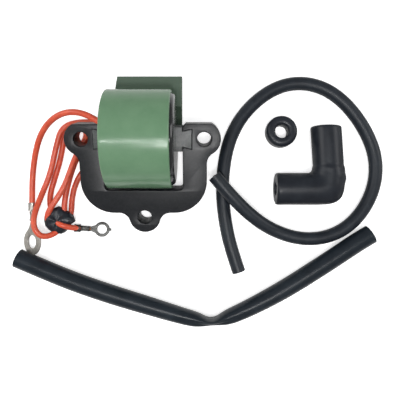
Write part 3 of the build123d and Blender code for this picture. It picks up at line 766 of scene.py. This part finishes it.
jacket = black_jacket("lead_jacket", dark=(0.010, 0.013, 0.018), light=(0.02, 0.026, 0.034),
                      roughness=0.42, scale=140.0)
ht_diameter = 7.0
ht_route = [
    (2.9, -12.4, 11.6), (6.9, -17.3, 11.3), (12.3, -23.3, 10.4), (19.5, -30.5, 8.4), (27.7, -37.0, 5.6),
    (36.2, -41.6, 3.8), (45.1, -44.6, 3.5), (54.3, -45.6, 3.5), (63.2, -44.3, 3.5), (71.1, -40.9, 3.5),
    (77.9, -35.4, 3.5), (83.4, -28.2, 3.5), (87.4, -19.4, 3.5), (89.1, -9.7, 3.5), (88.1, 0.4, 3.5),
    (84.2, 10.4, 3.5), (78.2, 20.0, 3.5), (70.9, 28.2, 3.5), (62.0, 34.3, 3.5), (52.0, 37.2, 3.5),
    (41.6, 36.7, 3.5), (31.9, 32.6, 3.5), (23.3, 25.8, 3.5), (16.7, 18.0, 3.5), (12.3, 9.6, 3.5),
    (9.6, 1.0, 3.5), (7.9, -9.2, 3.5), (7.4, -19.8, 3.5), (8.2, -30.8, 3.5), (9.9, -41.6, 3.5),
    (12.6, -52.2, 3.5), (16.2, -62.9, 3.5),
]
ht_strand = spline_curve("ht_lead_jacket", ht_route, ht_diameter, jacket, resolution=12)
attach(ht_strand, "high_tension_lead")
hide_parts("ht_lead", "ht_lead_conductor")


def cut_core(name, tip, inner, material):
    """The core's cut strands at a lead's end: a low button, one lobe a strand, just out of the jacket. Its
    profile is in radius and distance out of the cut."""
    strands, lobe_share = 7, 0.16
    tip, inner = np.asarray(tip) * mm, np.asarray(inner) * mm
    out = (tip - inner) / np.linalg.norm(tip - inner)
    side = np.cross(out, (0, 0, 1.0))
    side /= np.linalg.norm(side)
    up = np.cross(side, out)
    around = np.linspace(0, 2 * np.pi, 42, endpoint=False)
    lobes = 1 - lobe_share + lobe_share * np.abs(np.cos(strands / 2 * around))
    profile = [(0.0, -1.0), (0.8, -1.0), (0.8, 0.12), (0.6, 0.28), (0.0, 0.3)]
    grid = [tip + out * depth * mm + (np.cos(around) * r * lobes * mm)[:, None] * side
            + (np.sin(around) * r * lobes * mm)[:, None] * up for r, depth in profile]
    return surface(name, np.array(grid), material)


ht_cores = [cut_core("ht_core_start", ht_route[0], ht_route[1], copper),
            cut_core("ht_core_end", ht_route[-1], ht_route[-2], copper)]
for core in ht_cores:
    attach(core, "high_tension_lead")

# Vinyl sleeve
# Thin-walled black vinyl tube, cut square. It was packed folded, so its middle has buckled flat into a
# fold that stands on edge, and a crease runs out of the fold along each leg.
sleeve_diameter, sleeve_wall = 10.0, 0.9
sleeve_route = [
    (-100.4, -55.4, 5.05), (-90.7, -59.6, 5.05), (-71.7, -67.5, 5.05), (-52.3, -74.2, 5.05),
    (-33.1, -80.0, 5.05), (-19.1, -84.2, 5.05), (-7.7, -87.4, 5.05), (1.7, -88.8, 5.05), (9.9, -86.6, 5.05),
    (19.1, -82.7, 5.05), (31.1, -76.7, 5.05), (43.5, -69.7, 5.05), (56.3, -61.6, 5.05),
    (69.1, -53.3, 5.05), (78.4, -47.0, 5.05), (85.5, -42.8, 5.05),
]
fold_at = (1.9, -88.2)


def sleeve_section(path):
    """Half-width and half-height of the tube at each point, and how near the fold it is. Near the fold it
    narrows and grows tall by bell curves of the distance to the fold, and elsewhere it stays round."""
    fold_reach, fold_power, pinch_reach = 26.0, 1.5, 6.0
    narrowing, pinch, growth, pinch_growth = 0.25, 0.42, 0.12, 0.12
    away = np.hypot(path[:, 0] / mm - fold_at[0], path[:, 1] / mm - fold_at[1])
    near = np.exp(-(away / fold_reach) ** fold_power)
    tight = np.exp(-(away / pinch_reach) ** 2)
    radius = sleeve_diameter / 2
    half_width = radius * (1 - narrowing * near - pinch * tight)
    half_height = radius * (1 + growth * near + pinch_growth * tight)
    return half_width, half_height, near


def sleeve_surface(path):
    """The tube's inner and outer skins over (distance, angle): an ellipse whose top is creased in near the
    fold by a narrow cosine power."""
    crease_lean, crease_power, crease_depth = 0.35, 10, 1.3
    ahead = np.gradient(path, axis=0)
    ahead /= np.linalg.norm(ahead, axis=1)[:, None]
    side = np.cross(ahead, (0, 0, 1.0))
    side /= np.linalg.norm(side, axis=1)[:, None]
    up = np.cross(side, ahead)
    half_width, half_height, near = sleeve_section(path)
    around = np.linspace(0, 2 * np.pi, 56, endpoint=False)
    crease = np.clip(np.cos(around - np.pi / 2 + crease_lean), 0, 1) ** crease_power

    def skin(inset):
        """One side of the wall, this far in from the outside, standing on the floor."""
        across = (half_width[:, None] - inset) * np.cos(around)
        high = (half_height[:, None] - inset) * np.sin(around)
        high = high - (crease_depth * near[:, None] ** 2) * crease[None, :]
        centre = (half_height - sleeve_diameter / 2)[:, None] + high
        return (path[:, None, :] + across[:, :, None] * mm * side[:, None, :]
                + centre[:, :, None] * mm * up[:, None, :])

    return np.concatenate([skin(0.0), skin(sleeve_wall)[::-1]])


sleeve_path = spline_points(sleeve_route, resolution=14)
vinyl = black_jacket("sleeve_vinyl", dark=(0.008, 0.012, 0.017), light=(0.016, 0.023, 0.031),
                     roughness=0.33, scale=120.0)
sleeve = surface("sleeve_tube", sleeve_surface(sleeve_path), vinyl, close_u=True)
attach(sleeve, "sleeve")
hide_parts("lead_sleeve")

# Plug boot
# One rubber moulding, two legs at a right angle with a thick round elbow. One leg takes the lead, the
# other slips over the plug, where a sprung brass cup grips it.
boot_radius, boot_step, inner_fillet = 8.3, 0.45, 2.5
elbow_power, plug_leg_lean, step_at, step_sharpness = 4.6, 1.3, 11.5, 6.0
nub_height, nub_turn, nub_width = 0.8, 1.3, 0.1
boot_corner = (62.3, -19.0)
boot_lead_end, boot_plug_end = 34.8, 13.3
lead_bore, plug_bore = (3.4, 16.0), (5.6, 15.0)
lip_rows = 4


def boot_sections():
    """Ring centres, directions and half-widths along the boot, from one mouth to the other.

    The centre line is straight, turns through a quarter circle about a point inside the elbow, and is
    straight again, leaning a little inwards. In the turn the outer side is a superellipse about that point,
    with a small nub on it from a bell curve."""
    swing = boot_radius + inner_fillet
    x, y = boot_corner
    pivot = np.array([x - swing, y + swing])
    rows = []
    lead_x = np.linspace(boot_lead_end, x - swing, 26)[:-1]
    for place in lead_x:
        rows.append((place, y, 1.0, 0.0, boot_radius, boot_radius))
    for turn in np.linspace(0, np.pi / 2, 21):
        away = np.array([math.sin(turn), -math.cos(turn)])
        square = abs(away[0]) ** elbow_power + abs(away[1]) ** elbow_power
        outer = (swing + boot_radius) * square ** (-1 / elbow_power)
        outer += nub_height * math.exp(-((turn - nub_turn) / nub_width) ** 2)
        middle = (outer + inner_fillet) / 2
        centre = pivot + away * middle
        rows.append((centre[0], centre[1], math.cos(turn), math.sin(turn), (outer - inner_fillet) / 2,
                     boot_radius))
    for place in np.linspace(y + swing, boot_plug_end, 26)[1:]:
        lean = plug_leg_lean * (place - y - swing) / (boot_plug_end - y - swing)
        rows.append((x - lean, place, 0.0, 1.0, boot_radius, boot_radius))
    return np.array(rows)


def boot_surface():
    """The outer skin over (distance, angle), joined at each mouth by a rounded lip to a blind bore, which is
    given by its radius and depth. The plug's leg steps down by a logistic curve along it."""
    around = np.linspace(0, 2 * np.pi, 72, endpoint=False)
    rows = boot_sections()

    def ring(centre_x, centre_y, ahead, wide, high):
        """Points of an ellipse across the direction ahead, at the boot's own height."""
        side = np.array([ahead[1], -ahead[0]])
        across = wide * np.cos(around)
        lift = boot_radius + high * np.sin(around)
        return np.stack([centre_x + across * side[0], centre_y + across * side[1], lift], axis=1)

    def mouth(end_x, end_y, out, bore):
        """Rings of a lip and its bore, each given by a radius and a distance out of the mouth."""
        bore_radius, depth = bore
        outside = boot_radius - (boot_step if out[1] else 0.0)
        lip = [(outside, -1.2), (outside - 0.12, -0.55), (outside - 0.4, -0.15),
               (outside - 0.9, 0.0), (bore_radius + 0.5, 0.0), (bore_radius + 0.12, -0.18),
               (bore_radius, -0.6), (bore_radius, -depth), (0.0, -depth)]
        return [ring(end_x + out[0] * d, end_y + out[1] * d, (-out[0], -out[1]) if out[0] < 0 else out, r, r)
                for r, d in lip]

    outer = []
    last_x, last_y = boot_corner
    for cx, cy, dx, dy, wide, high in rows[lip_rows:-lip_rows]:
        step = boot_step / (1 + math.exp(-(cy - last_y - step_at) * step_sharpness))
        outer.append(ring(cx, cy, (dx, dy), wide - step, high - step))
    start = mouth(boot_lead_end, last_y, (-1.0, 0.0), lead_bore)[::-1]
    end = mouth(last_x - plug_leg_lean, boot_plug_end, (0.0, 1.0), plug_bore)
    return np.array(start + outer + end) * mm


boot_rubber = black_jacket("boot_rubber", dark=(0.009, 0.011, 0.016), light=(0.017, 0.021, 0.028),
                           roughness=0.38, scale=160.0)
boot = surface("boot_moulding", boot_surface(), boot_rubber, smooth=50.0)
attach(boot, "boot")
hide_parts("plug_boot")
dress("plug_terminal", brass)


# Grommet
# A thick soft ring that seals the lead where it enters the housing, moulded in rubber with rounded
# shoulders and a rounded mouth to its hole.
grommet_at = (38.3, 11.1)


def grommet_surface():
    """A profile of (radius, height) turned about the ring's axis."""
    profile = [(3.5, 1.0), (3.9, 0.25), (4.6, 0.0), (5.8, 0.0), (7.2, 0.35), (7.9, 1.2), (8.15, 2.2),
               (8.15, 6.8), (7.95, 7.8), (7.3, 8.6), (6.4, 9.0), (5.0, 9.0), (4.2, 8.85), (3.7, 8.4),
               (3.5, 7.8), (3.5, 4.6)]
    around = np.linspace(0, 2 * np.pi, 72, endpoint=False)
    rows = [np.stack([grommet_at[0] + r * np.cos(around), grommet_at[1] + r * np.sin(around),
                      np.full_like(around, z)], axis=1) for r, z in profile]
    return np.array(rows) * mm


grommet_rubber = black_jacket("grommet_rubber", dark=(0.009, 0.011, 0.016), light=(0.018, 0.022, 0.03),
                              roughness=0.34, scale=200.0)
grommet = surface("grommet_ring", grommet_surface(), grommet_rubber, close_u=True, smooth=60.0)
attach(grommet, "grommet")
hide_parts("lead_grommet")
